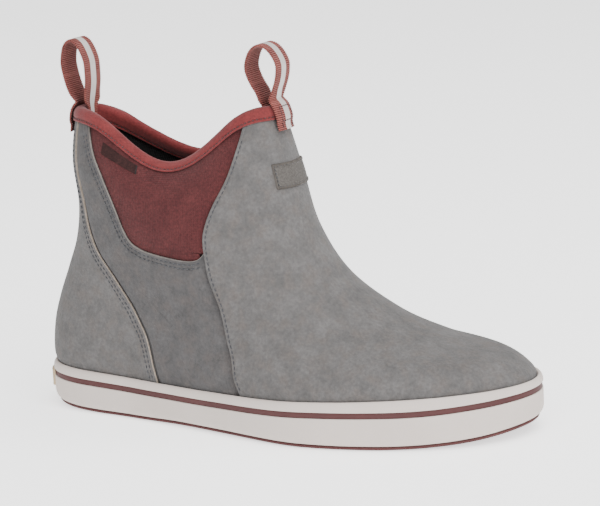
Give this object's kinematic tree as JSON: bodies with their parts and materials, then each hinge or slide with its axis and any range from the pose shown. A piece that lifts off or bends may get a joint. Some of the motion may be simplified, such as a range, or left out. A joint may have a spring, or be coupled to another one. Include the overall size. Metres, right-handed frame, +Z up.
{
  "type": "ankle deck boot",
  "caption": "Low pull-on ankle boot for the right foot: leather over a soft bootie with stretch side gores, a rubber sidewall and sole, and webbing pull loops.",
  "frame": {"origin": "middle of the overall box in plan, at ground level under the tread", "axes": "+X towards the toe, +Y towards the inner (big-toe) side of this right boot, +Z up"},
  "size_m": [0.3032, 0.111, 0.2175],
  "materials": {
    "grey_nubuck": "brushed nubuck, mottled",
    "gore_textile": "fine textile over neoprene",
    "binding_knit": "knitted fold-over tape",
    "bootie_textile": "black textured textile",
    "wall_rubber": "smooth satin",
    "outsole_rubber": "satin",
    "midsole_foam": "closed-cell foam",
    "shank_steel": "plain steel strip",
    "insole_fibreboard": "fibreboard",
    "footbed_foam": "soft foam",
    "strap_webbing": "ribbed woven webbing",
    "reflective_tape": "grey reflective tape",
    "seam_thread": "polyester thread",
    "stiffener_sheet": "thermoplastic sheet",
    "badge_rubber": "satin",
    "patch_rubber": "matt",
    "label_woven": "woven label"
  },
  "bodies": {
    "boot": {"outsole": "outsole_rubber", "midsole": "midsole_foam", "shank": "shank_steel", "insole_board": "insole_fibreboard", "sidewall_lower": "wall_rubber", "sidewall_stripe": "outsole_rubber", "sidewall_upper": "wall_rubber", "heel_badge": "badge_rubber", "footbed": "footbed_foam", "footbed_cover": "bootie_textile", "vamp": "grey_nubuck", "heel_counter": "grey_nubuck", "quarter_outer": "grey_nubuck", "quarter_inner": "grey_nubuck", "gore_outer": "gore_textile", "gore_inner": "gore_textile", "bootie_lining": "bootie_textile", "collar_binding": "binding_knit", "toe_puff": "stiffener_sheet", "heel_stiffener": "stiffener_sheet", "front_patch": "patch_rubber", "side_label": "label_woven", "vamp_stitching_outer": "seam_thread", "vamp_stitching_inner": "seam_thread", "counter_stitching_outer": "seam_thread", "counter_stitching_inner": "seam_thread", "gore_stitching_outer": "seam_thread", "gore_stitching_inner": "seam_thread", "front_tab_outside": "strap_webbing", "front_tab_inside": "strap_webbing", "front_tab_stripe": "reflective_tape", "rear_tab_outside": "strap_webbing", "rear_tab_inside": "strap_webbing", "rear_tab_stripe": "reflective_tape"},
    "front_pull": {"front_loop": "strap_webbing", "front_loop_stripe": "reflective_tape"},
    "rear_pull": {"rear_loop": "strap_webbing", "rear_loop_stripe": "reflective_tape"}
  },
  "joints": [
    {"name": "front_loop_hinge", "type": "hinge", "parent": "boot", "child": "front_pull", "pos_m": [0.0005, 0.00503, 0.1846], "axis": [0, 1, 0], "range_deg": [-60, 60], "stiffness_Nm_per_rad": 0.01},
    {"name": "rear_loop_hinge", "type": "hinge", "parent": "boot", "child": "rear_pull", "pos_m": [-0.1208, 0.00503, 0.1814], "axis": [0, 1, 0], "range_deg": [-60, 60], "stiffness_Nm_per_rad": 0.01}
  ]
}
